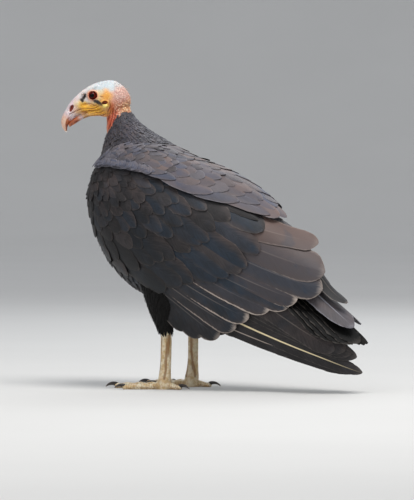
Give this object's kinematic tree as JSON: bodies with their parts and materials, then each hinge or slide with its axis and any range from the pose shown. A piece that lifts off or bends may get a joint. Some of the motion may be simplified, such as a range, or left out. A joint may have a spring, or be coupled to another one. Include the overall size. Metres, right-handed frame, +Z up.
{
  "type": "vulture",
  "caption": "Standing vulture, a lesser yellow-headed vulture at life size, with folded wings, a bare coloured head turned to its left, a hooked bill and flat feet.",
  "frame": {"origin": "on the floor under the soles, below the middle of the bird's own box", "axes": "+Z up, -Y the way the body faces, +X the bird's left, so the tail points to +Y"},
  "size_m": [0.1646, 0.4376, 0.3997],
  "materials": {
    "plumage": "sooty black-brown body feathers, matt with a soft edge",
    "coverts": "black-brown wing feathers with a blue sheen and thin pale edges",
    "quills": "dark grey-brown quills with pale shafts",
    "head_skin": "bare wrinkled skin, pale blue on the crown, yellow on the cheek and orange-pink on the nape",
    "bill_horn": "pale pinkish horn, satin",
    "iris": "dark red iris and black pupil under a wet surface",
    "leg_skin": "scaly skin, cream and stained, greyish on the toes",
    "claw_horn": "dark grey horn, satin"
  },
  "bodies": {
    "root": {"neck": "plumage", "trunk": "plumage", "scapulars_left": "plumage", "scapulars_right": "plumage", "thigh_left": "plumage", "thigh_right": "plumage", "wing_left": "coverts", "wing_right": "coverts", "primaries_left": "quills", "primaries_right": "quills", "tail": "quills", "head": "head_skin", "bill_upper": "bill_horn", "bill_lower": "bill_horn", "eye_left": "iris", "eye_right": "iris", "shank_left": "leg_skin", "shank_right": "leg_skin", "toe_middle_left": "leg_skin", "toe_middle_right": "leg_skin", "toe_inner_left": "leg_skin", "toe_inner_right": "leg_skin", "toe_outer_left": "leg_skin", "toe_outer_right": "leg_skin", "toe_hind_left": "leg_skin", "toe_hind_right": "leg_skin", "claw_middle_left": "claw_horn", "claw_middle_right": "claw_horn", "claw_inner_left": "claw_horn", "claw_inner_right": "claw_horn", "claw_outer_left": "claw_horn", "claw_outer_right": "claw_horn", "claw_hind_left": "claw_horn", "claw_hind_right": "claw_horn"}
  },
  "joints": []
}
